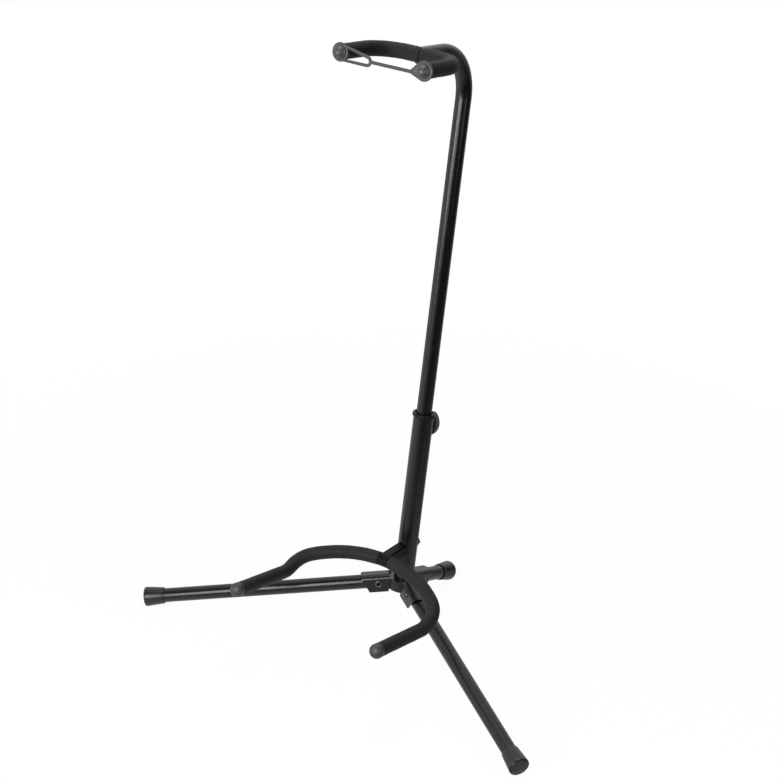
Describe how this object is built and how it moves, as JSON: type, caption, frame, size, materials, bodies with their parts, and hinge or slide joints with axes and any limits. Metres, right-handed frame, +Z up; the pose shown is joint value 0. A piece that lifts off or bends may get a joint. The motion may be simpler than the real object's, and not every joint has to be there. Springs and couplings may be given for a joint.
{
  "type": "guitar stand",
  "caption": "Folding tripod guitar stand: telescopic leaning mast, foam cradle for the body, padded neck yoke with a rubber strap, riveted fold-down legs",
  "frame": {"origin": "on the floor, under the middle of the overall box", "axes": "+Z up, -Y to the front where the cradle and the yoke open, +X to the right seen from the front"},
  "size_m": [0.5798, 0.3332, 0.7607],
  "materials": {
    "black_steel": "satin-gloss black powder coat on steel",
    "black_foam": "matte closed-cell foam sleeve",
    "black_rubber": "soft dark-grey rubber with a faint sheen",
    "black_plastic": "moulded black plastic, fine texture",
    "plated_steel": "zinc-plated steel"
  },
  "bodies": {
    "base": {"lower_tube": "black_steel", "tube_collar": "black_plastic", "hub_drum": "black_steel", "tube_plug": "black_plastic", "clamp_boss": "black_steel", "cradle_strut": "black_plastic", "strut_stud": "plated_steel", "saddle_washer": "black_plastic", "strut_nut": "plated_steel", "cradle_rod": "black_steel", "cradle_foam_right": "black_foam", "cradle_foam_left": "black_foam", "cradle_cap_right": "black_rubber", "cradle_cap_left": "black_rubber", "leg_rivets": "plated_steel", "left_bracket": "black_steel", "right_bracket": "black_steel", "rear_bracket": "black_steel"},
    "left_leg": {"left_leg_tube": "black_steel", "left_foot": "black_rubber"},
    "right_leg": {"right_leg_tube": "black_steel", "right_foot": "black_rubber"},
    "rear_leg": {"rear_leg_tube": "black_steel", "rear_foot": "black_rubber"},
    "glide": {"tube_glide": "black_plastic"},
    "upper": {"upper_tube": "black_steel", "yoke_rod": "black_steel", "yoke_sleeve_right": "black_foam", "yoke_sleeve_left": "black_foam", "yoke_cap_right": "black_rubber", "yoke_cap_left": "black_rubber"},
    "pad": {"pressure_pad": "black_plastic"},
    "knob": {"clamp_screw": "plated_steel", "clamp_knob": "black_plastic"},
    "strap": {"safety_strap": "black_rubber"}
  },
  "joints": [
    {"name": "left_leg_fold", "type": "hinge", "parent": "base", "child": "left_leg", "pos_m": [-0.02616, 0.02655, 0.052], "axis": [0.5, -0.8512, 0.1593], "range_deg": [0, 77]},
    {"name": "right_leg_fold", "type": "hinge", "parent": "base", "child": "right_leg", "pos_m": [0.02616, 0.02655, 0.052], "axis": [0.5, 0.8512, -0.1593], "range_deg": [0, 77]},
    {"name": "rear_leg_fold", "type": "hinge", "parent": "base", "child": "rear_leg", "pos_m": [0, 0.07109, 0.04367], "axis": [-1, 0, 0], "range_deg": [0, 77]},
    {"name": "height_slide", "type": "slide", "parent": "base", "child": "glide", "axis": [0, 0.184, 0.9829], "range_m": [-0.07, 0.04]},
    {"name": "upper_turn", "type": "hinge", "parent": "glide", "child": "upper", "pos_m": [0, 0.08407, 0.27724], "axis": [0, 0.184, 0.9829], "continuous": true},
    {"name": "pad_press", "type": "slide", "parent": "base", "child": "pad", "axis": [0, 0.9829, -0.184], "range_m": [0, 0.002]},
    {"name": "knob_turn", "type": "hinge", "parent": "pad", "child": "knob", "pos_m": [0, 0.09854, 0.25673], "axis": [0, 0.9829, -0.184], "range_deg": [0, 720]},
    {"name": "strap_swing", "type": "hinge", "parent": "upper", "child": "strap", "pos_m": [0.0546, -0.00504, 0.74967], "axis": [0, 0.9845, -0.1754], "range_deg": [0, 110], "deforming": ["safety_strap"]}
  ],
  "couplings": [
    {"joint": "pad_press", "follows": "knob_turn", "m_per_rad": 0.00015915}
  ]
}
